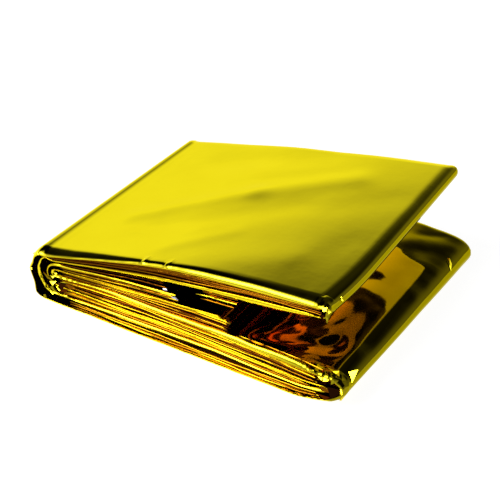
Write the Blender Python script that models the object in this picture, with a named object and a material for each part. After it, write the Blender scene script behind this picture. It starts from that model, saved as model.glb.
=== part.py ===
"""Emergency foil blanket, folded into a flat packet that lies slightly open, like a book.

The film is one long strip, folded back and forth. Its section, in the X-Z plane, is one path
of eight passes joined by turns, and each pass stands for many plies of film lying together.
The section is lofted from the front edge to the back edge of the packet.
Units in the tables are millimetres. +X runs along the packet towards its open side, +Y to
the back and +Z up. The origin is the middle of the packet's footprint.
"""

from collections import namedtuple
from math import cos, exp, pi, sin

import bmesh
import bpy
from mathutils import Vector

MM = 0.001

# Driving sizes
PACKET_LENGTH = 130.0
PACKET_DEPTH = 99.0

# Thickness of the strip at its turns and at its two free ends, and the length over which a
# pass thins towards them
TURN_THICKNESS = 1.2
WRAP_THICKNESS = 1.4
FREE_END_THICKNESS = 1.0
END_TAPER = 7.0

# The open end of the lower leaf runs askew: it is lifted off the surface at the front and
# reaches further out at the back.
SKEW_START = 30.0
SKEW_FRONT = -2.1
SKEW_BACK = 2.7
LIFT_START = 43.0
LIFT_FRONT = 4.4
LIFT_TOP = 14.0
LIFT_CURVE = 1.4
RIM_DROOP = 1.6

# How far the two outermost turns reach, so that the packet has its full length
SPINE_REACH = -(PACKET_LENGTH - WRAP_THICKNESS) / 2.0
RIM_REACH = (PACKET_LENGTH - WRAP_THICKNESS) / 2.0 - SKEW_BACK

# Spacing of the points along a pass, the number of steps round a turn, and the height below
# which the underside is made flat
SAMPLE_STEP = 5.4
FEWEST_STEPS = 3
TURN_STEPS = 8
FLAT_SNAP = 0.25

# Places along the length at which the pass table gives heights
STATIONS = (-50.0, -30.0, -10.0, 10.0, 30.0, 50.0)

# One row a pass, from the top of the packet down. The middle heights and the thicknesses are
# at the stations, left and right are the ends of the pass, and front and back are how far its
# edges stand in from the packet's front and back planes.
Pass = namedtuple("Pass", "middle thick left right front back")
PASSES = {
    "cover": Pass((21.9, 26.6, 31.9, 34.6, 36.6, 37.4), (1.6, 2.2, 3.2, 3.2, 2.8, 2.2),
                  -60.0, 52.4, 0.0, 0.0),
    "under_cover": Pass((19.8, 23.3, 27.0, 29.8, 32.2, 34.1), (1.3, 1.6, 2.0, 2.0, 1.8, 1.4),
                        -56.5, 52.4, 0.3, 0.2),
    "short_upper": Pass((17.6, 20.5, 22.3, 23.2, 23.8, 24.4), (1.1, 1.4, 1.8, 1.8, 1.8, 1.8),
                        -51.5, 0.5, 0.9, 0.5),
    "short_lower": Pass((15.8, 17.7, 18.9, 20.3, 21.3, 22.0), (1.2, 2.0, 2.4, 2.6, 2.6, 2.6),
                        -53.5, 18.4, 0.5, 0.7),
    "wedge_floor": Pass((13.7, 14.3, 14.2, 14.0, 13.0, 11.6), (1.4, 2.2, 2.4, 2.8, 3.4, 3.2),
                        -53.5, 56.0, 0.1, 0.3),
    "core_upper": Pass((9.6, 10.4, 10.4, 9.9, 8.7, 7.6), (3.2, 3.4, 3.2, 3.0, 2.4, 1.6),
                       -51.0, 51.0, 0.6, 0.4),
    "core_lower": Pass((5.3, 6.1, 6.3, 6.2, 5.6, 4.7), (1.8, 2.4, 2.4, 2.4, 2.0, 1.2),
                       -54.0, 50.6, 0.4, 0.6),
    "base": Pass((1.3, 1.35, 1.45, 1.45, 1.3, 1.05), (2.6, 2.7, 2.9, 2.9, 2.6, 2.1),
                 -57.5, 56.0, 0.0, 0.1),
}

# One row a turn: the passes it joins in the strip's order, how far its middle line reaches,
# how its bulge rounds off (1 is round and less is squarer), and its thickness.
Turn = namedtuple("Turn", "start end reach rounding thick")
TURNS = (
    Turn("short_lower", "wedge_floor", -54.8, 0.9, TURN_THICKNESS),
    Turn("wedge_floor", "base", RIM_REACH, 0.75, WRAP_THICKNESS),
    Turn("base", "cover", SPINE_REACH, 0.62, WRAP_THICKNESS),
    Turn("cover", "under_cover", 54.2, 1.0, TURN_THICKNESS),
    Turn("under_cover", "core_lower", -61.3, 0.72, TURN_THICKNESS),
    Turn("core_lower", "core_upper", 52.4, 0.9, TURN_THICKNESS),
    Turn("core_upper", "short_upper", -58.1, 0.8, TURN_THICKNESS),
)

# Height added to the raised leaf at the back edge, at the stations, so that this edge is
# nearly straight while the front edge stays bowed
BACK_RISE = (0.0, -0.6, -1.4, -1.1, 0.3, 2.0)

# Lofted sections from front to back: how far along the depth, and how much of the full
# thickness the strip has there, so that its front and back edges are rounded.
Section = namedtuple("Section", "along fullness")
SECTIONS = (
    Section(0.0, 0.45), Section(0.014, 1.0), Section(0.16, 1.0), Section(0.38, 1.0),
    Section(0.62, 1.0), Section(0.84, 1.0), Section(0.986, 1.0), Section(1.0, 0.45),
)

# Soft swells in the two broad faces that show: the leaf, the middle of the swell, its half
# widths along the length and the depth, and its height.
Swell = namedtuple("Swell", "leaf x y wide deep height")
SWELLS = (
    Swell("upper", -26.0, 22.0, 26.0, 16.0, 0.55),
    Swell("upper", 8.0, -8.0, 22.0, 20.0, 0.35),
    Swell("upper", 34.0, 26.0, 20.0, 18.0, -0.5),
    Swell("upper", -36.0, -20.0, 11.0, 24.0, -0.35),
    Swell("floor", 30.0, -12.0, 12.0, 16.0, 0.7),
    Swell("floor", 39.0, 20.0, 9.0, 20.0, -0.5),
)
LEAF_OF_PASS = {"cover": "upper", "under_cover": "upper", "wedge_floor": "floor"}

FILM_COLOUR = (0.95, 0.78, 0.07, 1.0)
FILM_ROUGHNESS = 0.14


def clamp_unit(value):
    return min(1.0, max(0.0, value))


def ease(value):
    """Smooth step from 0 to 1."""
    value = clamp_unit(value)
    return value * value * (3.0 - 2.0 * value)


def between(values, x):
    """Smooth value at x, from the values at the stations."""
    spacing = STATIONS[1] - STATIONS[0]
    place = (x - STATIONS[0]) / spacing
    index = int(min(max(place, 0), len(STATIONS) - 2))
    part = place - index
    last = len(values) - 1
    start, end = values[index], values[index + 1]
    slope_in = (end - values[max(index - 1, 0)]) / (2.0 if index > 0 else 1.0)
    slope_out = (values[min(index + 2, last)] - start) / (2.0 if index + 2 <= last else 1.0)
    if part < 0.0:
        return start + slope_in * part
    if part > 1.0:
        return end + slope_out * (part - 1.0)
    square, cube = part * part, part * part * part
    return ((2 * cube - 3 * square + 1) * start + (cube - 2 * square + part) * slope_in
            + (3 * square - 2 * cube) * end + (cube - square) * slope_out)


# One point of the strip's middle line, in millimetres
Point = namedtuple("Point", "x z thick front back leaf")


def pass_points(name, leftwards, right_thickness):
    """The points along one pass, which thins towards both its ends."""
    row = PASSES[name]
    count = max(FEWEST_STEPS, round((row.right - row.left) / SAMPLE_STEP))
    points = []
    for step in range(count + 1):
        x = row.left + (row.right - row.left) * step / count
        from_left = ease((x - row.left) / END_TAPER)
        from_right = ease((row.right - x) / END_TAPER)
        thick = right_thickness + (between(row.thick, x) - right_thickness) * from_right
        thick = TURN_THICKNESS + (thick - TURN_THICKNESS) * from_left
        points.append(Point(x, between(row.middle, x), thick, row.front, row.back,
                            LEAF_OF_PASS.get(name, "")))
    return points[::-1] if leftwards else points


def turn_points(turn, first, last):
    """The points of one turn, between the last point of a pass and the first of the next."""
    points = []
    middle_z = (first.z + last.z) / 2.0
    half = (last.z - first.z) / 2.0
    leaf = first.leaf if first.leaf == last.leaf else ""
    for step in range(1, TURN_STEPS):
        along = step / TURN_STEPS
        angle = pi * (along - 0.5)
        root = first.x + (last.x - first.x) * along
        x = root + (turn.reach - root) * cos(angle) ** turn.rounding
        z = middle_z + half * sin(angle)
        front = first.front + (last.front - first.front) * along
        back = first.back + (last.back - first.back) * along
        points.append(Point(x, z, turn.thick, front, back, leaf))
    return points


def strip_points():
    """The whole middle line of the strip, from one free end to the other."""
    order = [TURNS[0].start] + [turn.end for turn in TURNS]
    runs = []
    for index, name in enumerate(order):
        is_free = index in (0, len(order) - 1)
        right_thickness = FREE_END_THICKNESS if is_free else TURN_THICKNESS
        runs.append(pass_points(name, index % 2 == 0, right_thickness))
    points = list(runs[0])
    for turn, run in zip(TURNS, runs[1:]):
        points += turn_points(turn, points[-1], run[0])
        points += run
    return points


def swell_height(point, y):
    """Height that the swells of this point's leaf add at this depth."""
    total = 0.0
    for swell in SWELLS:
        if swell.leaf == point.leaf:
            across = ((point.x - swell.x) / swell.wide) ** 2 + ((y - swell.y) / swell.deep) ** 2
            total += swell.height * exp(-across)
    return total


def placed(point, along):
    """The point's x and z in the section at this part of the depth."""
    x, z = point.x, point.z
    if point.leaf != "upper":
        skewed = ease((x - SKEW_START) / (RIM_REACH - SKEW_START))
        lifted = clamp_unit((x - LIFT_START) / (RIM_REACH - LIFT_START))
        low = clamp_unit(1.0 - z / LIFT_TOP)
        z += LIFT_FRONT * (1.0 - along) * low * lifted ** LIFT_CURVE
        z -= RIM_DROOP * along * (1.0 - low) * lifted
        x += (SKEW_FRONT + (SKEW_BACK - SKEW_FRONT) * along) * skewed
    else:
        z += between(BACK_RISE, x) * along
    return x, z + swell_height(point, PACKET_DEPTH * (along - 0.5))


def section_sides(points, section):
    """The two sides of the strip in one section, as lists of positions in metres."""
    middle = [placed(point, section.along) for point in points]
    sides = ([], [])
    last = len(points) - 1
    for index, point in enumerate(points):
        before, after = middle[max(index - 1, 0)], middle[min(index + 1, last)]
        run = Vector((after[0] - before[0], after[1] - before[1])).normalized()
        y = (point.front * (1.0 - section.along) - point.back * section.along
             + PACKET_DEPTH * (section.along - 0.5))
        for side, sign in zip(sides, (-1.0, 1.0)):
            offset = sign * point.thick * section.fullness / 2.0
            x = middle[index][0] - run.y * offset
            z = middle[index][1] + run.x * offset
            if z < FLAT_SNAP and section.fullness == 1.0:
                z = 0.0
            side.append(Vector((x * MM, y * MM, z * MM)))
    return sides


def film_material():
    material = bpy.data.materials.new("gold_film")
    material.use_nodes = True
    shader = material.node_tree.nodes["Principled BSDF"]
    shader.inputs["Base Color"].default_value = FILM_COLOUR
    shader.inputs["Metallic"].default_value = 1.0
    shader.inputs["Roughness"].default_value = FILM_ROUGHNESS
    return material


def film_mesh():
    """Lofts the strip's sections into one closed body."""
    points = strip_points()
    mesh_maker = bmesh.new()
    rings = []
    for section in SECTIONS:
        near, far = section_sides(points, section)
        rings.append(([mesh_maker.verts.new(place) for place in near],
                      [mesh_maker.verts.new(place) for place in far]))
    last = len(points) - 1
    for (near, far), (next_near, next_far) in zip(rings, rings[1:]):
        for index in range(last):
            mesh_maker.faces.new((near[index], near[index + 1],
                                  next_near[index + 1], next_near[index]))
            mesh_maker.faces.new((far[index + 1], far[index],
                                  next_far[index], next_far[index + 1]))
        mesh_maker.faces.new((far[0], near[0], next_near[0], next_far[0]))
        mesh_maker.faces.new((near[last], far[last], next_far[last], next_near[last]))
    for near, far in (rings[0], rings[-1]):
        for index in range(last):
            mesh_maker.faces.new((near[index], far[index], far[index + 1], near[index + 1]))
    bmesh.ops.recalc_face_normals(mesh_maker, faces=mesh_maker.faces)
    mesh = bpy.data.meshes.new("foil_blanket")
    mesh_maker.to_mesh(mesh)
    mesh_maker.free()
    return mesh


def clear_scene():
    for item in list(bpy.data.objects):
        bpy.data.objects.remove(item, do_unlink=True)


def build():
    clear_scene()
    parts = bpy.data.collections.new("emergency_foil_blanket")
    bpy.context.scene.collection.children.link(parts)
    film = bpy.data.objects.new("foil_blanket", film_mesh())
    film.data.materials.append(film_material())
    film.data.shade_smooth()
    film.data.set_sharp_from_angle(angle=pi / 5.0)
    parts.objects.link(film)


build()
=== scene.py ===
import math
import random
import bmesh
import bpy
import numpy as np
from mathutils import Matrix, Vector


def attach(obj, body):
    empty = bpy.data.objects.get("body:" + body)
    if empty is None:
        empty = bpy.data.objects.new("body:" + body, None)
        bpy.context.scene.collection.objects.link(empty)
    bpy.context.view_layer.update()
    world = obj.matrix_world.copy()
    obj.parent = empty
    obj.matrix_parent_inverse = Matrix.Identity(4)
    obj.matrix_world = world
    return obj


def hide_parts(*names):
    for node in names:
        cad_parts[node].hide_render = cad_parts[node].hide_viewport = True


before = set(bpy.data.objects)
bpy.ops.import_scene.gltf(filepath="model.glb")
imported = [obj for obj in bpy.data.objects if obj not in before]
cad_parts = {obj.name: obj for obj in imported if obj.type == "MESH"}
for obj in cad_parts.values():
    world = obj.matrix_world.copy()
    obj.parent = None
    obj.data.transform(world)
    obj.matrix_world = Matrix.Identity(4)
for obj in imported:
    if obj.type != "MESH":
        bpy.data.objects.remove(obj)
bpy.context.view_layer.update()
mm = 0.001
print("stage: frame loaded,", len(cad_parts), "node")


# Camera and light

view = {
    "target": (-0.9, -2.8, 15.0),  # mm
    "distance": 391.5,
    "azimuth": 30.9,  # degrees round from the front
    "elevation": 33.2,
    "lens": 77.9,
    "sensor": 36.0,
}


def setCamera():
    azimuth, elevation = math.radians(view["azimuth"]), math.radians(view["elevation"])
    back = Vector((math.sin(azimuth) * math.cos(elevation),
                   -math.cos(azimuth) * math.cos(elevation), math.sin(elevation)))
    data = bpy.data.cameras.new("camera")
    data.lens = view["lens"]
    data.sensor_width = view["sensor"]
    data.clip_start = 0.01
    camera = bpy.data.objects.new("camera", data)
    camera.location = (Vector(view["target"]) + back * view["distance"]) * mm
    camera.rotation_euler = (-back).to_track_quat("-Z", "Y").to_euler()
    bpy.context.scene.collection.objects.link(camera)
    bpy.context.scene.camera = camera


studio = {
    "horizon": 1.2,  # brightness of the white sweep near the horizon
    # elevation in degrees and brightness of the backdrop as it darkens upwards
    "sweep": ((0.0, 1.0), (14.0, 1.0), (20.0, 0.80), (24.0, 0.66), (28.0, 0.47),
              (32.0, 0.22), (36.0, 0.07), (41.0, 0.02), (90.0, 0.014)),
    # axis, start, end and level of the places where the sweep is dimmer
    "dims": (("X", -0.15, 0.45, 0.34), ("Y", 0.1, -0.35, 0.62)),
    # direction, cosines of the soft edge, and the level left by the black panel at the left
    "flag": ((-0.76, 0.20, 0.62), 0.88, 0.965, 0.03),
    # the same for each soft light, with its power
    "lights": (((-0.43, -0.58, 0.69), 0.84, 0.92, 1.2), ((-0.43, -0.62, 0.66), 0.95, 0.992, 18.0)),
    "floorColour": (0.25, 0.25, 0.25, 1.0),
    "floorGlow": 0.95,
    "floorSize": 3.0,  # metres
    "floorDrop": 0.0002,
    "bounces": 16,
    "mirrorBounces": 14,
}


# Makes nodes in a tree: inputs are given values or linked, and the rest are the node's settings
def nodeMaker(tree):
    def add(kind, inputs=None, **settings):
        node = tree.nodes.new(kind)
        for key, value in settings.items():
            setattr(node, key, value)
        for key, value in (inputs or {}).items():
            if isinstance(value, bpy.types.NodeSocket):
                tree.links.new(value, node.inputs[key])
            else:
                node.inputs[key].default_value = value
        return node
    return add


def softRamp(add, value, limits, low=0.0, high=1.0):
    return add("ShaderNodeMapRange",
               {"Value": value, "From Min": limits[0], "From Max": limits[1], "To Min": low,
                "To Max": high}, interpolation_type="SMOOTHSTEP").outputs[0]


def setStops(ramp, places):
    stops = ramp.color_ramp.elements
    while len(stops) > 1:
        stops.remove(stops[-1])
    for index, (where, colour) in enumerate(places):
        stop = stops[0] if index == 0 else stops.new(where)
        stop.position = where
        stop.color = colour


def lightStudio():
    world = bpy.data.worlds.new("studio")
    bpy.context.scene.world = world
    world.use_nodes = True
    world.node_tree.nodes.clear()
    add = nodeMaker(world.node_tree)

    def calc(operation, a, b):
        return add("ShaderNodeMath", {0: a, 1: b}, operation=operation).outputs[0]

    place = add("ShaderNodeTexCoord").outputs["Generated"]
    split = add("ShaderNodeSeparateXYZ", {0: place})
    sweep = add("ShaderNodeValToRGB", {0: split.outputs["Z"]})
    setStops(sweep, [(math.sin(math.radians(degrees)), (level, level, level, 1.0))
                     for degrees, level in studio["sweep"]])
    total = calc("MULTIPLY", sweep.outputs[0], studio["horizon"])
    for axis, start, end, level in studio["dims"]:
        total = calc("MULTIPLY", total, softRamp(add, split.outputs[axis], (start, end), 1.0, level))
    panels = [(studio["flag"], 1.0, "MULTIPLY")] + [(each, 0.0, "ADD") for each in studio["lights"]]
    for (direction, outer, inner, power), outside, operation in panels:
        towards = add("ShaderNodeVectorMath", {0: place, 1: Vector(direction).normalized()},
                      operation="DOT_PRODUCT").outputs["Value"]
        total = calc(operation, total, softRamp(add, towards, (outer, inner), outside, power))
    light = add("ShaderNodeBackground", {"Strength": total})
    white = add("ShaderNodeBackground")
    rays = add("ShaderNodeLightPath")
    mix = add("ShaderNodeMixShader",
              {0: rays.outputs["Is Camera Ray"], 1: light.outputs[0], 2: white.outputs[0]})
    add("ShaderNodeOutputWorld", {0: mix.outputs[0]})
    scene = bpy.context.scene
    scene.view_settings.view_transform = "Standard"
    scene.cycles.max_bounces = studio["bounces"]
    scene.cycles.glossy_bounces = studio["mirrorBounces"]


def layFloor():
    half = studio["floorSize"] / 2
    mesh = bpy.data.meshes.new("floor")
    mesh.from_pydata([(-half, -half, 0), (half, -half, 0), (half, half, 0), (-half, half, 0)], [],
                     [(0, 1, 2, 3)])
    floor = bpy.data.objects.new("floor", mesh)
    floor.location.z = -studio["floorDrop"]
    bpy.context.scene.collection.objects.link(floor)
    paint = bpy.data.materials.new("paleFloor")
    paint.use_nodes = True
    shader = paint.node_tree.nodes["Principled BSDF"]
    shader.inputs["Base Color"].default_value = studio["floorColour"]
    shader.inputs["Roughness"].default_value = 0.9
    shader.inputs["Specular IOR Level"].default_value = 0.0
    shader.inputs["Emission Color"].default_value = (1.0, 1.0, 1.0, 1.0)
    shader.inputs["Emission Strength"].default_value = studio["floorGlow"]
    mesh.materials.append(paint)


setCamera()
lightStudio()
layFloor()
print("stage: camera, light and floor set")


# Gold film

gold = {
    # the film's gold on its open faces, then painted shade darkening it to brown and near black into the
    # deepest folds
    "colours": ((0.0, (0.94, 0.81, 0.021, 1.0)), (0.3, (0.60, 0.42, 0.006, 1.0)),
                (0.6, (0.24, 0.098, 0.002, 1.0)), (0.85, (0.10, 0.018, 0.001, 1.0)),
                (1.0, (0.014, 0.004, 0.001, 1.0))),
    "silver": (0.62, 0.65, 0.74, 1.0),  # the film's other face
    "amber": (0.96, 0.66, 0.003, 1.0),  # painted reflection: the amber of gold mirrored in gold, between the leaves
    "dull": (0.26, 0.21, 0.004, 1.0),  # painted shade, olive-dark, where the film turns round the two broad leaves' ends and at the wedge floor's far end
    "grazing": (1.0, 0.93, 0.45, 1.0),
    "roughness": 0.05,
    "roughnessRange": (0.7, 1.5),  # times the roughness, from clear to hazy patches
    "drift": 0.06,
    "driftScale": 60.0,
    "hazeScale": 90.0,  # of the hazy patches
    "bump": 0.12,
    "bumpScale": 160.0,
    "bumpDepth": 0.0002,
    "creaseScale": 420.0,
    "creaseDepth": 0.0007,
}
# sockets of the mix node: the ones for colours, and the ones for vectors
mixColours = {"share": 0, "first": 6, "second": 7, "result": 2}
mixVectors = {"share": 0, "first": 4, "second": 5, "result": 1}


def makeGold():
    film = bpy.data.materials.new("goldFilm")
    film.use_nodes = True
    add, link = nodeMaker(film.node_tree), film.node_tree.links.new
    shader = film.node_tree.nodes["Principled BSDF"].inputs
    shader["Metallic"].default_value = 1.0
    shader["Specular Tint"].default_value = gold["grazing"]
    place = add("ShaderNodeTexCoord").outputs["Object"]

    def calc(operation, *values):
        return add("ShaderNodeMath", dict(enumerate(values)), operation=operation).outputs[0]

    def share(label):
        return add("ShaderNodeAttribute", attribute_name=label).outputs["Fac"]

    # painted shade deepens the colour into the folds, and the colour drifts a little over the film
    drift = add("ShaderNodeTexNoise", {"Vector": place, "Scale": gold["driftScale"]}).outputs["Fac"]
    depth = calc("MULTIPLY_ADD", drift, gold["drift"], share("inner"))
    shadeRamp = add("ShaderNodeValToRGB", {"Fac": depth})
    setStops(shadeRamp, gold["colours"])
    colour = shadeRamp.outputs["Color"]
    # the film's other face is silver; amber is painted reflection between the leaves, and olive is painted
    # shade
    for label in ("silver", "amber", "dull"):
        blend = add("ShaderNodeMix", {mixColours["share"]: share(label), mixColours["first"]: colour,
                                      mixColours["second"]: gold[label]}, data_type="RGBA")
        colour = blend.outputs[mixColours["result"]]
    link(colour, shader["Base Color"])
    haze = add("ShaderNodeTexNoise", {"Vector": place, "Scale": gold["hazeScale"], "Detail": 3.0})
    least, most = gold["roughnessRange"]
    rough = add("ShaderNodeMapRange",
                {"Value": haze.outputs["Fac"], "From Min": 0.3, "From Max": 0.7,
                 "To Min": gold["roughness"] * least, "To Max": gold["roughness"] * most})
    link(rough.outputs[0], shader["Roughness"])

    # a faint bump everywhere, and sharp small creases where the film is crumpled
    fine = add("ShaderNodeTexNoise", {"Vector": place, "Scale": gold["bumpScale"], "Detail": 2.0})
    faint = add("ShaderNodeBump", {"Strength": gold["bump"], "Distance": gold["bumpDepth"],
                                   "Height": fine.outputs["Fac"]})
    cells = add("ShaderNodeTexVoronoi", {"Vector": place, "Scale": gold["creaseScale"]}, feature="F1")
    deep = calc("MULTIPLY", cells.outputs["Distance"], share("crumple"))
    sharp = add("ShaderNodeBump", {"Strength": 1.0, "Distance": gold["creaseDepth"], "Height": deep,
                                   "Normal": faint.outputs[0]})
    link(sharp.outputs[0], shader["Normal"])
    return film


filmMaterial = makeGold()


# The fold's passes, from the top down. Heights of the middle line and thicknesses are at the
# stations along the packet, in mm. Left and right are a pass's ends, front and back are how far
# its long edges are set back, and edge is how far their rounding reaches in.
stations = (-50.0, -30.0, -10.0, 10.0, 30.0, 50.0)
passes = {
    "cover": dict(mid=(21.6, 26.9, 31.8, 34.6, 36.35, 37.68), thick=(0.5, 0.6, 0.95, 1.25, 1.6, 1.05),
                  left=-58.5, right=53.9, front=0.0, back=0.0, edge=1.0),
    "underCover": dict(mid=(19.2, 23.15, 26.7, 29.2, 31.4, 33.7), thick=(0.85, 1.1, 1.5, 1.65, 2.3, 1.5),
                       left=-54.0, right=53.9, front=0.3, back=0.2, edge=0.7),
    "shortUpper": dict(mid=(17.2, 19.9, 21.9, 23.2, 23.8, 24.4), thick=(0.5, 0.5, 0.5, 0.5, 0.5, 0.5),
                       left=-51.5, right=-2.0, front=0.7, back=0.5, edge=0.5),
    "shortLower": dict(mid=(15.2, 17.1, 18.3, 19.8, 20.8, 21.6), thick=(0.5, 0.7, 1.0, 1.2, 1.5, 1.5),
                       left=-53.5, right=16.2, front=0.4, back=0.7, edge=0.9),
    "wedgeFloor": dict(mid=(12.65, 14.4, 13.95, 13.8, 13.4, 12.3), thick=(0.5, 0.7, 1.2, 1.4, 1.9, 2.4),
                       left=-53.5, right=50.0, front=0.1, back=0.3, edge=1.3),
    "coreUpper": dict(mid=(8.05, 8.4, 8.65, 8.7, 7.9, 6.9), thick=(0.8, 0.7, 1.1, 0.9, 1.0, 0.7),
                      left=-51.0, right=52.6, front=0.4, back=0.4, edge=0.9),
    "coreLower": dict(mid=(4.55, 5.1, 5.45, 5.75, 5.2, 4.75), thick=(0.5, 0.8, 0.8, 0.8, 0.6, 0.5),
                      left=-54.0, right=52.2, front=0.4, back=0.6, edge=0.8),
    "base": dict(mid=(0.45, 0.4, 0.4, 0.4, 0.4, 0.45), thick=(0.7, 0.7, 0.7, 0.7, 0.7, 0.7),
                 left=-59.0, right=56.0, front=0.0, back=0.1, edge=0.7),
}
# the film runs through the passes in this order, with a turn after each but the last
order = ("shortLower", "wedgeFloor", "base", "cover", "underCover", "coreLower", "coreUpper",
         "shortUpper")
turns = (  # reach and rounding of each turn, or the points it goes by, and its thickness; two turns also get painted olive shade over part of their way round
    dict(reach=-54.8, rounding=0.9, thick=0.9),
    dict(by=((53.0, 12.0), (55.2, 11.6), (57.4, 10.95), (59.6, 9.8), (61.2, 8.2), (61.9, 6.4),
             (61.3, 4.3), (59.7, 2.2), (57.8, 1.0)), smooth=5, thick=1.2, dull=1.0, dullFrom=0.3),
    dict(by=((-61.3, 0.8), (-63.4, 2.2), (-63.5, 6.4), (-64.7, 10.6), (-64.9, 12.2), (-63.4, 14.6),
             (-62.7, 16.9), (-61.9, 18.1), (-60.4, 19.2)), thick=0.75),
    dict(reach=55.6, rounding=0.75, thick=1.0, dull=1.0, dullFrom=0.05),
    dict(by=((-57.6, 18.9), (-59.5, 17.2), (-61.1, 13.7), (-61.1, 10.4), (-59.5, 7.2),
             (-58.6, 5.3), (-56.5, 4.5)), thick=0.7),
    dict(reach=55.4, rounding=0.55, thick=0.9),
    dict(reach=-57.4, rounding=0.8, thick=0.8),
)
# how far the cover's long edges sag at the stations, and how far in for each mm of it
sag = {"values": (1.2, 0.9, 0.55, 0.85, 1.0, 1.3), "reach": 2.7, "curve": 1.15}
backRise = (0.6, -0.6, -1.4, -1.1, 0.3, 2.0)  # of the raised leaf at the back
openEnd = {  # the lower leaf's open end: lifted at the front, further out at the back
    "skewStart": 30.0, "skewFront": -0.8, "skewBack": 2.7, "liftStart": 43.0, "lift": 4.4,
    "liftTop": 14.0, "liftCurve": 1.4, "droop": -0.6, "reach": 61.6,
}
corners = {  # the left end is further in at the back, and the cover's right corner at the front
    "leftStart": -50.0, "leftReach": 12.0, "leftIn": 1.7, "rightStart": 40.0, "rightReach": 12.0,
    "rightIn": 1.6, "rightAlong": 14.0,
}
packetDepth = 99.0
# what each row of a line says: place and thickness, rounding and set-backs of the long edges,
# its leaf, painted shade and painted reflection, and creases. Drop is how far the cover sags to its
# long edges, and pull how far its front corner is drawn in. Ripple is 1 and the rest 0 where a row doesn't
# say.
columns = ("x", "z", "thick", "edge", "front", "back", "upper", "floor", "inner", "drop",
           "ripple", "crumple", "shade", "amber", "dull", "pull")
lengths = ("thick", "edge", "front", "back", "drop", "pull")  # these are in mm
spacing = {"pass": 1.2, "route": 0.7, "ply": 1.6, "turnSteps": 1.3}  # mm a row, rows a mm of a turn
passEnds = {"reach": 7.0, "tipReach": 1.3, "leftThick": 0.8, "sagOver": 1.6, "sagFade": 3.0}
tipThick = 0.05  # of the film's two free ends
oliveShadeFade = 0.25  # share of a turn over which its painted olive shade comes in
rippled = {"cover": 0.1, "underCover": 0.5, "wedgeFloor": 0.35}  # share of the ripple, 1 elsewhere
shadeOffset = {"base": -0.15}  # shift of a pass's painted shade depth, 0 elsewhere
# painted shade and painted amber reflection at the stations away from the long edges, where one leaf
# mirrors the other
shaded = {"wedgeFloor": (0.2, 0.2, 0.2, 0.2, 0.2, 0.42), "underCover": (0.0, 0.0, 0.0, 0.0, 0.05, 0.12)}
amberReflected = {"wedgeFloor": (1.0, 1.0, 1.0, 1.0, 1.0, 0.0), "underCover": (1.0, 1.0, 1.0, 1.0, 0.8, 0.1)}
oliveShaded = {"wedgeFloor": (0.0, 0.0, 0.0, 0.0, 0.0, 0.78)}  # how much painted olive shade lies on the film at the stations
# where the front edge is crumpled: pass, middle, half width and strength
crumples = (("cover", 53.0, 1.5, 0.8), ("underCover", 52.0, 2.5, 0.8), ("wedgeFloor", 50.5, 4.0, 1.0),
            ("cover", -60.0, 2.0, 0.4), ("coreLower", -50.0, 7.0, 1.0), ("coreUpper", -47.0, 6.0, 0.8),
            ("wedgeFloor", -49.0, 5.0, 0.6), ("base", 48.0, 8.0, 0.8), ("cover", -14.1, 0.5, 0.5),
            ("cover", -4.6, 0.7, 0.6))


# Main creases of the two broad leaves: where each runs from and to, its half width and height, mm
creases = (
    ("upper", (-40.0, -18.0), (-4.0, 8.0), 5.0, 0.30),
    ("upper", (-4.0, 8.0), (26.0, 27.0), 6.0, 0.34),
    ("upper", (-22.0, -24.0), (16.0, 2.0), 7.0, -0.22),
    ("upper", (-36.0, -30.0), (-22.0, -28.5), 2.2, 0.07),
    ("upper", (-13.0, -39.0), (5.0, -22.0), 3.5, 0.10),
    ("upper", (-6.5, 3.6), (1.6, 3.4), 1.2, 0.05),
    ("upper", (4.0, -44.0), (30.0, -32.0), 9.0, 0.22),
    ("upper", (30.0, 6.0), (46.0, 18.0), 7.0, -0.12),
    ("upper", (-30.0, 30.0), (6.0, 42.0), 9.0, -0.20),
    ("upper", (36.0, -34.0), (44.0, -14.0), 6.0, -0.08),
    ("floor", (57.5, -50.0), (56.5, -34.0), 5.0, 0.75),
    ("floor", (47.0, 10.0), (60.0, 6.0), 2.4, 0.22),
    ("floor", (50.0, 17.0), (62.0, 12.0), 1.5, -0.16),
    ("floor", (48.0, 25.0), (62.0, 24.0), 1.8, 0.20),
    ("floor", (50.0, 31.0), (63.0, 33.0), 1.3, -0.14),
    ("floor", (50.0, 38.0), (64.0, 42.0), 2.0, 0.18),
    ("floor", (12.0, -48.6), (56.0, -48.6), 1.5, 0.25),
    ("floor", (28.0, -45.5), (50.0, -34.0), 4.0, -0.75),
    ("floor", (30.0, -41.0), (48.0, -31.5), 1.4, 0.25),
    ("floor", (34.0, -34.0), (38.0, -26.0), 1.0, 0.14),
    ("floor", (38.0, -33.0), (43.0, -24.0), 1.2, 0.18),
    ("floor", (43.0, -31.0), (47.0, -22.0), 1.0, -0.14),
    ("floor", (34.0, 0.0), (50.0, 8.0), 4.5, -0.35),
    ("floor", (30.0, 22.0), (46.0, 34.0), 5.0, 0.40),
    ("floor", (44.0, 12.0), (52.0, 17.0), 1.0, 0.13),
    ("floor", (49.0, 20.0), (55.0, 19.0), 0.9, -0.12),
    ("floor", (43.0, 26.0), (51.0, 29.0), 0.9, 0.12),
    ("floor", (51.0, 35.0), (58.0, 38.0), 1.0, 0.14),
    ("floor", (46.0, 40.0), (55.0, 45.0), 1.2, -0.14),
)


def ease(t):
    t = min(1.0, max(0.0, t))
    return t * t * (3 - 2 * t)


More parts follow.
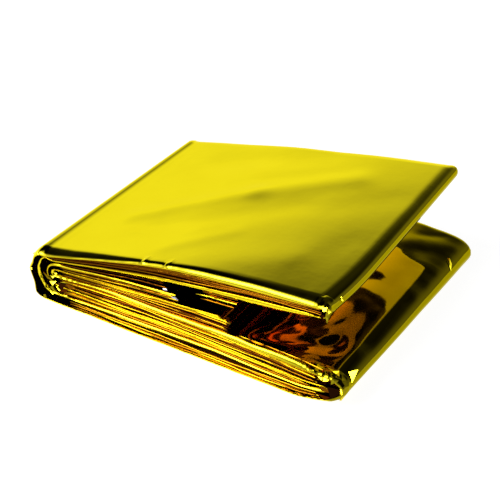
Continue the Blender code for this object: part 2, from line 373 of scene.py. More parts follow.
def atStation(values, x):
    place = (x - stations[0]) / (stations[1] - stations[0])
    i = int(min(max(place, 0), len(stations) - 2))
    t, last = place - i, len(values) - 1
    a, b = values[i], values[i + 1]
    slopeIn = (b - values[max(i - 1, 0)]) / (2 if i > 0 else 1)
    slopeOut = (values[min(i + 2, last)] - a) / (2 if i + 2 <= last else 1)
    if t < 0:
        return a + slopeIn * t
    if t > 1:
        return b + slopeOut * (t - 1)
    return ((2 * t**3 - 3 * t**2 + 1) * a + (t**3 - 2 * t**2 + t) * slopeIn
            + (3 * t**2 - 2 * t**3) * b + (t**3 - t**2) * slopeOut)


def crumpledAt(name, x):
    return sum(strength * math.exp(-((x - middle) / half) ** 2)
               for place, middle, half, strength in crumples if place == name)


def lineRow(**facts):
    return [facts.get(label, 1.0 if label == "ripple" else 0.0) for label in columns]


def passRows(name, leftwards, endThick):
    row = passes[name]
    left, right = row["left"], row["right"]
    raised = name in ("cover", "underCover")
    endReach = passEnds["reach"] if endThick > tipThick else passEnds["tipReach"]
    startThick = passEnds["leftThick"]
    count = round((right - left) / spacing["pass"])
    rows = []
    for k in range(count + 1):
        x = left + (right - left) * k / count
        thick = endThick + (atStation(row["thick"], x) - endThick) * ease((right - x) / endReach)
        thick = startThick + (thick - startThick) * ease((x - left) / passEnds["reach"])
        drop = atStation(sag["values"], x) if name == "cover" else 0.0
        drop *= min(1.0, max(0.0, (right + passEnds["sagOver"] - x) / passEnds["sagFade"]))
        pull = corners["rightIn"] * ease((x - corners["rightStart"]) / corners["rightReach"])
        # painted shade, painted amber reflection and painted olive shade along the pass
        colours = {label: atStation(table[name], x)
                   for label, table in (("shade", shaded), ("amber", amberReflected), ("dull", oliveShaded))
                   if name in table}
        rows.append(lineRow(x=x, z=atStation(row["mid"], x) + drop, thick=thick, edge=row["edge"],
                            front=row["front"], back=row["back"], upper=float(raised),
                            floor=float(name == "wedgeFloor"), inner=shadeOffset.get(name, 0.0), drop=drop,
                            ripple=rippled.get(name, 1.0), crumple=crumpledAt(name, x),
                            pull=pull if raised else 0.0, **colours))
    return rows[::-1] if leftwards else rows


def turnRows(turn, first, last):
    places = []
    if "by" in turn:
        route = [first[:2], *turn["by"], last[:2]]
        for (x1, z1), (x2, z2) in zip(route, route[1:]):
            pieces = max(1, round(math.hypot(x2 - x1, z2 - z1) / spacing["route"]))
            places += [(x1 + (x2 - x1) * k / pieces, z1 + (z2 - z1) * k / pieces)
                       for k in range(pieces)]
        places = places[1:]
        for _ in range(turn.get("smooth", 0)):
            line = np.array([first[:2]] + places + [last[:2]])
            line[1:-1] = line[1:-1] * 0.5 + (line[:-2] + line[2:]) * 0.25
            places = [tuple(place) for place in line[1:-1]]
    else:
        steps = max(8, round(abs(last[1] - first[1]) * spacing["turnSteps"]))
        for k in range(1, steps):
            angle = math.pi * (k / steps - 0.5)
            root = first[0] + (last[0] - first[0]) * k / steps
            x = root + (turn["reach"] - root) * math.cos(angle) ** turn["rounding"]
            places.append((x, (first[1] + last[1]) / 2 + (last[1] - first[1]) / 2 * math.sin(angle)))
    line = np.array([first[:2]] + places + [last[:2]])
    dull = columns.index("dull")
    rows = []
    for k, (x, z) in enumerate(places):
        t = (k + 1) / (len(places) + 1)
        row = [a + (b - a) * t for a, b in zip(first, last)]
        # painted olive shade comes in over part of the turn
        if "dull" in turn:
            row[dull] = first[dull] + (turn["dull"] - first[dull]) * ease((t - turn["dullFrom"]) / oliveShadeFade)
        along = line[k + 2] - line[k]
        along /= np.linalg.norm(along)
        out = row[columns.index("drop")] * (1.0 if "by" in turn else 0.0)
        row[:3] = [x - along[1] * out, z + along[0] * out, turn["thick"]]
        rows.append(row)
    return rows


def stripRows():
    rows = passRows(order[0], True, tipThick)
    for k, (name, turn) in enumerate(zip(order[1:], turns)):
        nextRows = passRows(name, k % 2 == 1, tipThick if name == order[-1] else turns[k + 1]["thick"])
        rows += turnRows(turn, rows[-1], nextRows[0]) + nextRows
    rows = np.array(rows)
    rows[1:-1, :2] = rows[1:-1, :2] * 0.5 + (rows[:-2, :2] + rows[2:, :2]) * 0.25
    return rows


# The rows' places in the section at this part of the depth
def settled(rows, along):
    out = rows[:, :2].copy()
    reach = openEnd["reach"]
    upper = columns.index("upper")
    for k, row in enumerate(rows):
        x, z = row[:2]
        out[k, 1] += along * row[upper] * atStation(backRise, x)
        out[k, 0] += corners["leftIn"] * along * ease((corners["leftStart"] - x) / corners["leftReach"])
        if row[upper] > 0.5:
            continue
        skewed = ease((x - openEnd["skewStart"]) / (reach - openEnd["skewStart"]))
        lifted = min(1, max(0, (x - openEnd["liftStart"]) / (reach - openEnd["liftStart"])))
        low = min(1, max(0, 1 - z / openEnd["liftTop"]))
        out[k, 1] += openEnd["lift"] * (1 - along) * low * lifted ** openEnd["liftCurve"]
        out[k, 1] -= openEnd["droop"] * along * (1 - low) * lifted
        out[k, 0] += (openEnd["skewFront"] + (openEnd["skewBack"] - openEnd["skewFront"]) * along) * skewed
    return out


# One mesh of open lines, a line for each leaf of film, with its sizes as attributes
def pathMesh(name, leaves):
    places, backs, facts, edges, start = [], [], [], [], 0
    for rows in leaves:
        front, back = settled(rows, 0.0), settled(rows, 1.0)
        places += [(x * mm, 0, z * mm) for x, z in front]
        backs += [(x * mm, 0, z * mm) for x, z in back]
        facts += list(rows)
        edges += [(start + k, start + k + 1) for k in range(len(rows) - 1)]
        start += len(rows)
    mesh = bpy.data.meshes.new(name)
    mesh.from_pydata(places, edges, [])
    facts = np.array(facts)
    backPlace = mesh.attributes.new("backPlace", "FLOAT_VECTOR", "POINT")
    backPlace.data.foreach_set("vector", np.array(backs, dtype=np.float32).ravel())
    for label in columns[2:]:
        values = facts[:, columns.index(label)]
        if label in lengths:
            values = values * mm
        layer = mesh.attributes.new(label, "FLOAT", "POINT")
        layer.data.foreach_set("value", values.astype(np.float32))
    return mesh


folding = {
    "edgePower": 2.5,  # how quickly the loop's steps widen from the long edges inwards
    "underShade": (0.22, 0.62),  # shares of the thickness between which the painted shade on the film's underside grows
    "leastSag": 0.0003,  # metres, so that no sag is divided by nothing
    "wanderScale": (150.0, 0.0, 60.0),  # along X, across and up, to a metre
    "wanderMiddle": 0.35,
    "rippleScale": (70.0, 30.0, 70.0),
    "leafShift": 3.7,  # sets one leaf's noise apart from the next one's
    "shadeReach": (0.0012, 0.0026),  # metres in from the edge where painted shade and painted amber reflection start and are full
    "crumpleReach": (0.005, 0.002),  # metres in from the front edge where crumpling starts and is full
    "mergeReach": 0.000002,
}


# The tree that folds film: it sweeps a flattened loop along every line of its input
def foldingTree(material):
    tree = bpy.data.node_groups.new("foldFilm", "GeometryNodeTree")
    outside = tree.interface
    outside.new_socket(name="Path", in_out="INPUT", socket_type="NodeSocketGeometry")
    for name in ("Steps Along", "Steps Round"):
        outside.new_socket(name=name, in_out="INPUT", socket_type="NodeSocketInt")
    for name in ("Depth", "Edge Blend", "Sag Reach", "Sag Curve", "Pull Reach", "Nose", "Under Shade",
                 "Ripple", "Wander", "Seed"):
        outside.new_socket(name=name, in_out="INPUT", socket_type="NodeSocketFloat")
    outside.new_socket(name="Film", in_out="OUTPUT", socket_type="NodeSocketGeometry")
    add = nodeMaker(tree)

    def calc(operation, a, b=0.0, c=0.0):
        return add("ShaderNodeMath", {0: a, 1: b, 2: c}, operation=operation).outputs[0]

    def vector(operation, a, b=None, **more):
        inputs = {0: a} if b is None else {0: a, 1: b}
        inputs.update(more)
        return add("ShaderNodeVectorMath", inputs, operation=operation).outputs[0]

    def attribute(name, kind="FLOAT"):
        return add("GeometryNodeInputNamedAttribute", {"Name": name}, data_type=kind).outputs["Attribute"]

    source = add("NodeGroupInput").outputs
    stepsAlong, stepsRound = source["Steps Along"], source["Steps Round"]
    curves = add("GeometryNodeMeshToCurve", {"Mesh": source["Path"]})
    smooth = add("GeometryNodeCurveSplineType", {"Curve": curves.outputs[0]}, spline_type="CATMULL_ROM")
    even = add("GeometryNodeResampleCurve", {"Curve": smooth.outputs[0], "Count": stepsAlong})
    even = even.outputs[0]
    count = add("GeometryNodeAttributeDomainSize", {0: even}, component="CURVE").outputs["Spline Count"]

    # a grid for each line: across its X are the steps along, and its Y closes into the loop
    grid = add("GeometryNodeMeshGrid", {"Size X": 1.0, "Size Y": 1.0, "Vertices X": stepsAlong,
                                        "Vertices Y": stepsRound})
    points = add("GeometryNodePoints", {"Count": count})
    copies = add("GeometryNodeInstanceOnPoints",
                 {"Points": points.outputs[0], "Instance": grid.outputs["Mesh"]})
    index = add("GeometryNodeInputIndex").outputs[0]
    named = add("GeometryNodeStoreNamedAttribute",
                {"Geometry": copies.outputs[0], "Name": "leaf", "Value": index},
                data_type="INT", domain="INSTANCE")
    real = add("GeometryNodeRealizeInstances", {"Geometry": named.outputs[0]})
    place = add("GeometryNodeInputPosition").outputs[0]
    split = add("ShaderNodeSeparateXYZ", {0: place})
    u = calc("ADD", split.outputs["X"], 0.5)
    v = calc("ADD", split.outputs["Y"], 0.5)
    leaf = attribute("leaf", "INT")
    row = calc("ROUND", calc("MULTIPLY", u, calc("SUBTRACT", stepsAlong, 1.0)))
    here = calc("ADD", calc("MULTIPLY", leaf, stepsAlong), row)

    def sample(value, kind="FLOAT"):
        node = add("GeometryNodeSampleIndex", {"Geometry": even, "Value": value, "Index": here},
                   data_type=kind, domain="POINT")
        return node.outputs["Value"]

    frontPlace = sample(add("GeometryNodeInputPosition").outputs[0], "FLOAT_VECTOR")
    backPlace = sample(attribute("backPlace", "FLOAT_VECTOR"), "FLOAT_VECTOR")
    tangent = sample(add("GeometryNodeInputTangent").outputs[0], "FLOAT_VECTOR")
    thick, edge = sample(attribute("thick")), sample(attribute("edge"))
    front, back, drop = sample(attribute("front")), sample(attribute("back")), sample(attribute("drop"))

    # v runs once round the loop: side is -1 on the front half, and inward grows from the front
    # or back edge to the middle, slowly at first so that the edges get more of the points
    signed = calc("SUBTRACT", calc("PINGPONG", calc("MULTIPLY", v, 4.0), 2.0), 1.0)
    side = calc("SIGN", signed)
    near = calc("SUBTRACT", 1.0, calc("ABSOLUTE", signed))
    blend = source["Edge Blend"]
    power = folding["edgePower"]
    blended = calc("POWER", blend, power)
    grown = calc("POWER", calc("ADD", calc("POWER", near, power), blended), 1 / power)
    full = calc("POWER", calc("ADD", 1.0, blended), 1 / power)
    inward = calc("DIVIDE", calc("SUBTRACT", grown, blend), calc("SUBTRACT", full, blend))
    across = calc("MULTIPLY", side, calc("SUBTRACT", 1.0, inward))
    share = calc("MULTIPLY_ADD", across, 0.5, 0.5)
    depth = source["Depth"]
    fromEdge = calc("MULTIPLY", inward, calc("MULTIPLY", depth, 0.5))
    rim = calc("SUBTRACT", 1.0, calc("MINIMUM", calc("DIVIDE", fromEdge, edge), 1.0))
    lift = calc("SQRT", calc("MAXIMUM", calc("SUBTRACT", 1.0, calc("MULTIPLY", rim, rim)), 0.0))
    face = calc("SUBTRACT", calc("MULTIPLY", calc("LESS_THAN", v, 0.5), 2.0), 1.0)
    lift = calc("MULTIPLY", calc("MULTIPLY", lift, face), calc("MULTIPLY", thick, 0.5))
    low = calc("SUBTRACT", 0.5, calc("DIVIDE", lift, thick))
    low = softRamp(add, low, folding["underShade"])
    nose = calc("MULTIPLY", calc("MULTIPLY", rim, rim), calc("MULTIPLY", thick, source["Nose"]))
    lift = calc("SUBTRACT", lift, nose)
    sagReach = calc("MAXIMUM", calc("MULTIPLY", drop, source["Sag Reach"]), folding["leastSag"])
    sagging = calc("SUBTRACT", 1.0, calc("MINIMUM", calc("DIVIDE", fromEdge, sagReach), 1.0))
    lift = calc("SUBTRACT", lift, calc("MULTIPLY", drop, calc("POWER", sagging, source["Sag Curve"])))

    middle = add("ShaderNodeMix", {mixVectors["share"]: share, mixVectors["first"]: frontPlace,
                                   mixVectors["second"]: backPlace}, data_type="VECTOR")
    midPlace = middle.outputs[mixVectors["result"]]

    # the long edges wander a little in and out along the film
    shift = calc("MULTIPLY", calc("ADD", leaf, source["Seed"]), folding["leafShift"])
    leafShift = add("ShaderNodeCombineXYZ", {"Z": shift}).outputs[0]
    edgeAt = vector("ADD", vector("MULTIPLY", midPlace, folding["wanderScale"]), leafShift)
    edgeNoise = add("ShaderNodeTexNoise", {"Vector": edgeAt, "Scale": 1.0, "Detail": 2.0})
    wander = calc("SUBTRACT", edgeNoise.outputs["Fac"], folding["wanderMiddle"])
    wander = calc("MULTIPLY", wander, source["Wander"])
    yFront = calc("ADD", calc("ADD", calc("MULTIPLY", depth, -0.5), front), wander)
    yBack = calc("SUBTRACT", calc("SUBTRACT", calc("MULTIPLY", depth, 0.5), back), wander)
    y = add("ShaderNodeMapRange", {"Value": across, "From Min": -1.0, "From Max": 1.0,
                                   "To Min": yFront, "To Max": yBack}).outputs[0]
    yMove = add("ShaderNodeCombineXYZ", {"Y": y}).outputs[0]
    upright = vector("NORMALIZE", vector("CROSS_PRODUCT", tangent, (0.0, 1.0, 0.0)))

    # slow ripples run along the film, the same on both its faces
    flatPlace = vector("ADD", midPlace, yMove)
    rippleAt = vector("ADD", vector("MULTIPLY", flatPlace, folding["rippleScale"]), leafShift)
    noise = add("ShaderNodeTexNoise", {"Vector": rippleAt, "Scale": 1.0, "Detail": 1.5})
    ripple = calc("MULTIPLY", calc("SUBTRACT", noise.outputs["Fac"], 0.5), source["Ripple"])
    ripple = calc("MULTIPLY", ripple, sample(attribute("ripple")))
    offset = vector("SCALE", upright, Scale=calc("ADD", lift, ripple))
    final = vector("ADD", flatPlace, offset)

    # each crease is a soft trough or ridge about a line on its leaf
    split = add("ShaderNodeSeparateXYZ", {0: flatPlace})
    onLeaf = add("ShaderNodeCombineXYZ", {"X": split.outputs["X"], "Y": split.outputs["Y"]}).outputs[0]
    raised = 0.0
    for label in ("upper", "floor"):
        total = 0.0
        for place, start, end, half, height in creases:
            if place != label:
                continue
            run = Vector((end[0] - start[0], end[1] - start[1], 0)) * mm
            fromStart = vector("SUBTRACT", onLeaf, (start[0] * mm, start[1] * mm, 0.0))
            dot = add("ShaderNodeVectorMath", {0: fromStart, 1: run / run.length_squared},
                      operation="DOT_PRODUCT").outputs["Value"]
            dot = add("ShaderNodeClamp", {"Value": dot}).outputs[0]
            toLine = vector("SUBTRACT", fromStart, vector("SCALE", run, Scale=dot))
            far = add("ShaderNodeVectorMath", {0: toLine}, operation="LENGTH").outputs["Value"]
            far = calc("DIVIDE", far, half * mm)
            bell = calc("EXPONENT", calc("MULTIPLY", calc("MULTIPLY", far, far), -1.0))
            total = calc("MULTIPLY_ADD", bell, height * mm, total)
        raised = calc("MULTIPLY_ADD", total, sample(attribute(label)), raised)
    fromFront = calc("DIVIDE", calc("MULTIPLY", share, depth), source["Pull Reach"])
    pulled = calc("EXPONENT", calc("MULTIPLY", calc("MULTIPLY", fromFront, fromFront), -1.0))
    pulled = calc("MULTIPLY", calc("MULTIPLY", pulled, sample(attribute("pull"))), -1.0)
    final = vector("ADD", final, add("ShaderNodeCombineXYZ", {"X": pulled, "Z": raised}).outputs[0])

    shaped = real.outputs[0]
    # painted shade: the colour depth grows on the film's underside and, for some passes, away from the long
    # edges, where painted amber reflection also lies
    inner = calc("ADD", sample(attribute("inner")), calc("MULTIPLY", low, source["Under Shade"]))
    within = softRamp(add, fromEdge, folding["shadeReach"])
    inner = calc("ADD", inner, calc("MULTIPLY", within, sample(attribute("shade"))))
    atFront = softRamp(add, fromEdge, folding["crumpleReach"])
    atFront = calc("MULTIPLY", atFront, calc("LESS_THAN", side, 0.0))
    kept = {"inner": inner, "dull": sample(attribute("dull")),
            "amber": calc("MULTIPLY", within, sample(attribute("amber"))),
            "crumple": calc("MULTIPLY", atFront, sample(attribute("crumple")))}
    for label, value in kept.items():
        shaped = add("GeometryNodeStoreNamedAttribute",
                     {"Geometry": shaped, "Name": label, "Value": value},
                     data_type="FLOAT", domain="POINT").outputs[0]
    shaped = add("GeometryNodeSetPosition", {"Geometry": shaped, "Position": final}).outputs[0]
    closed = add("GeometryNodeMergeByDistance", {"Geometry": shaped, "Distance": folding["mergeReach"]})
    smoothed = add("GeometryNodeSetShadeSmooth", {"Geometry": closed.outputs[0]})
    made = add("GeometryNodeRealizeInstances", {"Geometry": smoothed.outputs[0]})
    painted = add("GeometryNodeSetMaterial", {"Geometry": made.outputs[0], "Material": material})
    add("NodeGroupOutput", {0: painted.outputs[0]})
    return tree


# Gives the tree's inputs by their identifiers
def setInputs(modifier, values):
    for item in modifier.node_group.interface.items_tree:
        if item.item_type == "SOCKET" and item.in_out == "INPUT" and item.name in values:
            modifier[item.identifier] = values[item.name]


def foldedPiece(name, leaves, values, tree):
    path = bpy.data.objects.new(name + "Path", pathMesh(name + "Path", leaves))
    bpy.context.scene.collection.objects.link(path)
    modifier = path.modifiers.new("fold", "NODES")
    modifier.node_group = tree
    setInputs(modifier, values)
    graph = bpy.context.evaluated_depsgraph_get()
    mesh = bpy.data.meshes.new_from_object(path.evaluated_get(graph))
    mesh.name = name
    bpy.data.objects.remove(path)
    piece = bpy.data.objects.new(name, mesh)
    bpy.context.scene.collection.objects.link(piece)
    return piece


def turnOut(mesh):
    work = bmesh.new()
    work.from_mesh(mesh)
    bmesh.ops.recalc_face_normals(work, faces=work.faces)
    work.to_mesh(mesh)
    work.free()


def declareFilm(piece):
    turnOut(piece.data)
    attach(piece, "root")
    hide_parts("foil_blanket")


foldTree = foldingTree(filmMaterial)
strip = {"Depth": packetDepth * mm, "Steps Along": 900, "Steps Round": 109, "Edge Blend": 0.2,
         "Sag Reach": sag["reach"], "Sag Curve": sag["curve"], "Pull Reach": corners["rightAlong"] * mm,
         "Nose": 0.3, "Under Shade": 0.36, "Ripple": 0.0004, "Wander": 0.0004, "Seed": 3.0}
stripLine = stripRows()
film = foldedPiece("film", [stripLine], strip, foldTree)
print("stage: film folded,", len(film.data.polygons), "faces")


# Thin plies between the passes. Each group: the passes above and below, start, end and set-back,
# then for each ply its level between the two, how deep its painted shade is and its share
# of the space.
plies = {
    "seed": 11,
    "between": (0.45, 0.3),  # the space starts this share of a pass's thickness above and below
    "sway": (0.02, 0.06),  # of the level, least and most
    "swayWave": 0.07,
    "backSway": 0.3,
    "backWave": 0.13,
    "tips": (2.5, 1.5),  # how soon the two ends thin out, mm
    "leastThick": 0.1,
    "tipThick": 0.04,
    "edge": 0.3,
    "crumple": 0.04,
    "vary": (2.5, 2.0),  # of the two ends, mm
    "varyBack": (0.8, 1.3),
    "groups": (
        ("cover", "underCover", -56.0, 51.5, 0.8,
         ((0.90, 0.30, 0.13), (0.76, 0.46, 0.12), (0.62, 0.64, 0.13), (0.47, 0.50, 0.12),
          (0.33, 0.68, 0.13), (0.18, 0.52, 0.12))),
        ("underCover", "shortUpper", -52.0, -5.0, 0.9,
         ((0.92, 0.34, 0.10), (0.62, 0.85, 0.08), (0.35, 0.66, 0.12))),
        ("shortUpper", "shortLower", -51.0, -1.0, 0.8,
         ((0.85, 0.3, 0.2), (0.55, 0.55, 0.2), (0.25, 0.4, 0.2))),
        ("underCover", "shortLower", -1.0, 16.0, 1.4, ((0.955, 0.34, 0.06),)),
        ("shortLower", "wedgeFloor", -52.0, 19.6, 0.8,
         ((0.87, 0.30, 0.15), (0.66, 0.45, 0.14), (0.48, 0.85, 0.08), (0.34, 0.42, 0.12),
          (0.16, 0.62, 0.12))),
        ("wedgeFloor", "coreUpper", -53.0, 53.0, 0.7,
         ((0.92, 0.28, 0.11), (0.80, 0.26, 0.10), (0.69, 0.42, 0.10), (0.58, 0.34, 0.10),
          (0.47, 0.72, 0.09), (0.37, 0.88, 0.08), (0.27, 0.55, 0.09), (0.15, 0.34, 0.10))),
        ("coreUpper", "coreLower", -52.0, 49.0, 0.6,
         ((0.82, 0.24, 0.2), (0.55, 0.42, 0.2), (0.28, 0.5, 0.2))),
        ("coreLower", "base", -56.0, 53.0, 1.9,
         ((0.80, 0.97, 0.15), (0.65, 1.0, 0.20), (0.51, 0.90, 0.12))),
        ("coreLower", "base", -50.0, 53.0, 0.8,
         ((0.91, 0.32, 0.08), (0.40, 0.42, 0.12), (0.28, 0.50, 0.10), (0.14, 0.26, 0.10))),
    ),
    "recessed": (  # left, right, height at both ends, set-back, depth of painted shade, thickness
        (47.5, 59.0, 9.9, 8.6, 1.5, 0.78, 0.9),
        (49.0, 60.0, 8.3, 6.6, 1.9, 0.95, 0.9),
        (50.0, 60.0, 6.3, 4.6, 1.6, 0.70, 0.9),
        (49.0, 59.5, 3.6, 2.6, 1.9, 0.9, 0.9),
        (7.0, 20.6, 25.9, 27.6, 3.2, 0.55, 1.3),
        (5.0, 20.4, 24.6, 26.0, 2.6, 0.05, 0.55),
        (6.5, 19.2, 23.2, 24.0, 2.8, 0.5, 0.5),
    ),
}


def plyRows(above, below, left, right, level, back, inner, part, chance):
    sway, turnX = chance.uniform(*plies["sway"]), chance.uniform(0, 6.3)
    upper, lower = passes[above], passes[below]
    overLower, underUpper = plies["between"]
    count = round((right - left) / spacing["ply"])
    rows = []
    for k in range(count + 1):
        x = left + (right - left) * k / count
        top = atStation(upper["mid"], x) - underUpper * atStation(upper["thick"], x)
        bottom = atStation(lower["mid"], x) + overLower * atStation(lower["thick"], x)
        place = level + sway * math.sin(x * plies["swayWave"] + turnX)
        ends = ease((x - left) / plies["tips"][0]) * ease((right - x) / plies["tips"][1])
        thick = max(plies["leastThick"], (top - bottom) * part)
        thick = plies["tipThick"] + (thick - plies["tipThick"]) * ends
        setBack = back + plies["backSway"] * math.sin(x * plies["backWave"] + 2 * turnX)
        rows.append(lineRow(x=x, z=bottom + (top - bottom) * place, thick=thick, edge=plies["edge"],
                            front=setBack, back=setBack, upper=float(below == "underCover"),
                            inner=inner, crumple=plies["crumple"]))
    return np.array(rows)


def recessedRows(left, right, lowEnd, highEnd, back, inner, thick):
    steps, tip = 12, 0.15
    rows = []
    for k in range(steps + 1):
        t = k / steps
        rows.append(lineRow(x=left + (right - left) * t, z=lowEnd + (highEnd - lowEnd) * t,
                            thick=tipThick + (thick - tipThick) * ease(t / tip), edge=0.9,
                            front=back, back=back, inner=inner, crumple=0.1))
    return np.array(rows)


def plyLeaves():
    chance = random.Random(plies["seed"])
    leaves = []
    for above, below, left, right, back, rowsHere in plies["groups"]:
        for level, inner, part in rowsHere:
            leaves.append(plyRows(above, below, left + chance.uniform(0, plies["vary"][0]),
                                  right - chance.uniform(0, plies["vary"][1]), level,
                                  back * chance.uniform(*plies["varyBack"]), inner, part, chance))
    return leaves + [recessedRows(*row) for row in plies["recessed"]]


pliesInputs = {"Depth": packetDepth * mm, "Steps Along": 72, "Steps Round": 33, "Edge Blend": 1.0,
               "Sag Reach": sag["reach"], "Sag Curve": 1.0, "Pull Reach": 0.01, "Nose": 0.0,
               "Under Shade": 0.2, "Ripple": 0.0002, "Wander": 0.0006, "Seed": 40.0}
plyLines = plyLeaves()
innerFilm = foldedPiece("film_plies", plyLines, pliesInputs, foldTree)
print("stage: plies folded,", len(plyLines), "plies,", len(innerFilm.data.polygons), "faces")

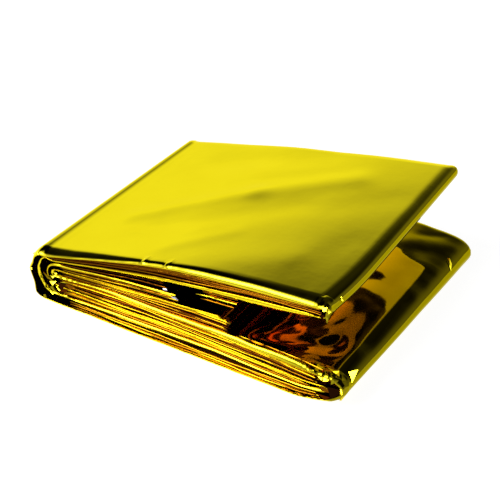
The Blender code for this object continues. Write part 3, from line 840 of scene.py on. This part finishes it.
# Small tucks where the film is crumpled, and slivers of its edges that catch the light: corners in
# mm, depth of painted shade and whether the other face shows
tucks = {
    "thick": 0.12,
    "crown": 1.8,  # times half the thickness
    "width": 10.0,  # of the piece of film that they would be cut from
    "plates": (
        (((57.9, -43.1, 11.3), (61.6, -41.5, 13.0), (61.2, -44.9, 9.5)), 0.0, 0.0),
        (((59.2, -46.5, 10.0), (61.5, -44.7, 9.6), (61.2, -45.9, 7.7), (59.8, -48.6, 4.9),
          (59.4, -49.0, 4.9), (58.9, -47.9, 7.9)), 0.1, 0.0),
        (((58.6, -47.6, 10.3), (59.3, -47.6, 10.2), (60.5, -48.8, 9.0), (60.3, -49.7, 8.1),
          (59.4, -48.9, 8.9)), 0.0, 0.0),
        (((55.0, -49.4, 9.0), (58.6, -48.3, 8.6), (59.0, -48.6, 4.8), (56.2, -49.4, 5.3)), 1.0, 0.0),
        (((51.7, -49.8, 7.9), (55.9, -48.5, 7.8), (56.7, -48.4, 6.2), (53.3, -49.4, 6.5)), 0.72, 0.0),
        (((51.5, -49.8, 5.2), (54.6, -48.9, 4.6), (57.9, -47.9, 3.9), (54.4, -49.1, 3.2)), 0.85, 0.0),
        (((55.3, -46.4, 13.1), (57.2, -45.9, 13.8), (57.8, -46.8, 12.5), (56.2, -46.9, 12.3)), 0.3, 0.0),
        (((50.2, -47.6, 11.0), (52.2, -47.3, 11.2), (52.7, -48.5, 10.0), (51.1, -48.5, 10.0)), 0.0, 0.0),
        (((52.7, -47.3, 11.1), (54.8, -47.2, 11.1), (54.6, -48.1, 10.2), (53.2, -48.6, 9.7)), 0.0, 0.0),
        (((56.3, -49.3, 13.0), (58.5, -48.8, 12.6), (58.3, -49.2, 12.1), (56.7, -50.3, 11.2)), 0.0, 0.0),
        (((50.1, -48.8, 11.0), (50.5, -48.3, 11.1), (51.7, -49.9, 10.5), (51.3, -50.2, 10.4)), 0.95, 0.0),
        (((53.9, -48.5, 9.2), (54.6, -47.1, 9.6), (54.9, -47.3, 9.4), (54.3, -48.6, 9.1)), 0.95, 0.0),
        (((55.7, -48.7, 9.2), (57.4, -46.4, 9.7), (57.8, -46.8, 9.6), (56.2, -48.5, 9.2)), 0.95, 0.0),
        (((-62.4, -49.5, 19.2), (-61.4, -49.0, 19.8), (-61.1, -49.7, 19.1)), 0.0, 0.0),
        (((-61.4, -49.0, 20.1), (-60.7, -48.9, 20.2), (-59.5, -49.5, 19.6),
          (-60.1, -49.6, 19.5)), 0.0, 0.0),
        (((-65.1, -49.3, 12.0), (-64.3, -48.9, 12.4), (-63.7, -49.6, 11.7)), 0.0, 0.0),
        (((-56.2, -49.2, 9.2), (-53.6, -48.6, 9.8), (-54.4, -49.9, 8.5)), 0.0, 0.0),
        (((-58.3, -48.9, 5.3), (-57.9, -48.7, 5.4), (-54.7, -49.6, 4.5), (-55.0, -49.8, 4.3)), 0.0, 0.0),
        (((-56.3, -49.4, 6.9), (-55.3, -48.8, 7.2), (-53.0, -49.2, 5.4), (-53.6, -49.5, 5.2)), 0.15, 0.0),
        (((-54.2, -48.8, 7.8), (-53.8, -48.6, 8.0), (-51.5, -49.5, 7.1), (-51.8, -49.7, 6.9)), 0.0, 0.0),
        (((-52.2, -49.4, 9.6), (-49.7, -48.6, 10.2), (-48.8, -48.5, 8.3),
          (-51.4, -49.4, 7.4)), 0.95, 0.0),
        (((-48.8, -49.3, 10.9), (-46.5, -48.6, 10.3), (-44.2, -48.0, 9.2),
          (-47.6, -49.1, 8.8)), 0.68, 0.0),
        (((-51.3, -49.3, 7.3), (-48.4, -48.3, 8.1), (-49.5, -48.8, 6.7), (-51.7, -49.5, 6.2)), 0.85, 0.0),
        (((-51.5, -49.1, 10.3), (-48.4, -48.3, 11.1), (-45.3, -48.3, 11.1),
          (-48.6, -48.7, 10.7)), 0.1, 0.0),
        (((-55.9, -49.1, 11.8), (-54.0, -49.0, 11.9), (-54.3, -49.5, 11.4)), 0.0, 0.0),
        (((-54.0, -49.0, 13.9), (-52.4, -49.1, 13.8), (-52.9, -49.5, 13.4)), 0.05, 0.0),
        (((-58.9, -49.1, 12.2), (-55.8, -49.0, 10.7), (-54.7, -49.1, 9.8),
          (-56.8, -49.5, 10.4)), 0.35, 0.0),
        (((-60.2, -49.1, 1.9), (-59.4, -48.8, 2.1), (-58.7, -49.1, 1.0), (-59.3, -49.5, 0.7)), 0.2, 0.0),
        (((52.1, -49.4, 38.2), (53.5, -48.9, 38.7), (53.6, -49.7, 37.9), (52.8, -50.0, 37.5)), 0.0, 0.0),
        (((53.3, -48.3, 38.2), (54.9, -48.9, 37.5), (54.3, -49.5, 36.9)), 0.0, 0.0),
        (((53.2, -49.2, 35.3), (54.5, -48.2, 36.4), (54.2, -49.9, 33.6)), 0.05, 0.0),
        (((52.8, -49.3, 37.9), (53.1, -49.1, 38.0), (54.0, -50.3, 37.5), (53.7, -50.5, 37.5)), 0.95, 0.0),
        (((51.1, -49.4, 35.0), (52.5, -48.9, 35.7), (53.2, -48.8, 34.5), (52.1, -49.2, 33.9)), 0.95, 0.0),
        (((54.0, -41.4, 38.4), (54.5, -41.4, 38.4), (55.5, -42.1, 37.6), (55.0, -42.1, 37.6)), 0.0, 0.0),
        (((61.0, 33.4, 11.9), (61.7, 33.5, 12.1), (63.2, 32.3, 10.8), (63.8, 30.5, 9.0),
          (62.4, 31.9, 10.5)), 0.0, 0.0),
        (((-7.1, -48.5, 23.5), (-5.5, -48.3, 23.6), (-5.2, -48.5, 23.1), (-6.9, -48.7, 23.1)), 0.0, 1.0),
        (((-4.8, -48.3, 21.6), (-2.5, -48.2, 21.6), (-0.9, -48.4, 20.8), (-3.3, -48.5, 20.9)), 0.0, 1.0),
        (((21.8, -47.6, 14.8), (25.9, -47.6, 14.8), (26.0, -47.7, 14.5), (21.9, -47.8, 14.4)), 0.48, 0.0),
        (((25.8, -47.0, 14.2), (30.7, -46.9, 14.2), (30.9, -47.1, 13.9), (25.9, -47.1, 13.9)), 0.58, 0.0),
        (((31.2, -47.3, 14.5), (36.5, -47.3, 14.4), (36.6, -47.5, 14.2), (31.3, -47.5, 14.1)), 0.66, 0.0),
        (((36.7, -47.4, 14.5), (44.6, -47.5, 14.3), (44.7, -47.7, 14.0), (36.9, -47.6, 14.2)), 0.52, 0.0),
        (((44.6, -47.1, 13.9), (52.3, -47.4, 13.4), (52.5, -47.7, 13.0), (44.7, -47.3, 13.6)), 0.55, 0.0),
        (((17.7, -48.8, 21.5), (18.7, -48.5, 21.4), (18.9, -48.7, 18.4), (18.1, -49.0, 18.1)), 0.95, 0.0),
    ),
}


# Each tuck is a small plate with a crown, so that it mirrors more than one spot of the light
def makeTucks():
    work = bmesh.new()
    facts = []
    for places, inner, silver in tucks["plates"]:
        outline = [Vector(place) * mm for place in places]
        middle = sum(outline, Vector()) / len(outline)
        normal = (outline[1] - outline[0]).cross(outline[2] - outline[0]).normalized()
        half = normal * tucks["thick"] * mm / 2
        near = [work.verts.new(corner + half) for corner in outline]
        far = [work.verts.new(corner - half) for corner in outline]
        crown = work.verts.new(middle + half * tucks["crown"])
        hollow = work.verts.new(middle - half * tucks["crown"])
        for k in range(len(outline)):
            after = (k + 1) % len(outline)
            work.faces.new((near[k], near[after], crown))
            work.faces.new((far[after], far[k], hollow))
            work.faces.new((near[after], near[k], far[k], far[after]))
        facts += [(inner, silver)] * (2 * len(outline) + 2)
    mesh = bpy.data.meshes.new("film_tucks")
    work.to_mesh(mesh)
    work.free()
    for place, label in enumerate(("inner", "silver")):
        layer = mesh.attributes.new(label, "FLOAT", "POINT")
        layer.data.foreach_set("value", [fact[place] for fact in facts])
    mesh.materials.append(filmMaterial)
    piece = bpy.data.objects.new("film_tucks", mesh)
    bpy.context.scene.collection.objects.link(piece)
    return piece


tuckFilm = makeTucks()
print("stage: tucks made,", len(tucks["plates"]))

declareFilm(film)
declareFilm(innerFilm)
declareFilm(tuckFilm)
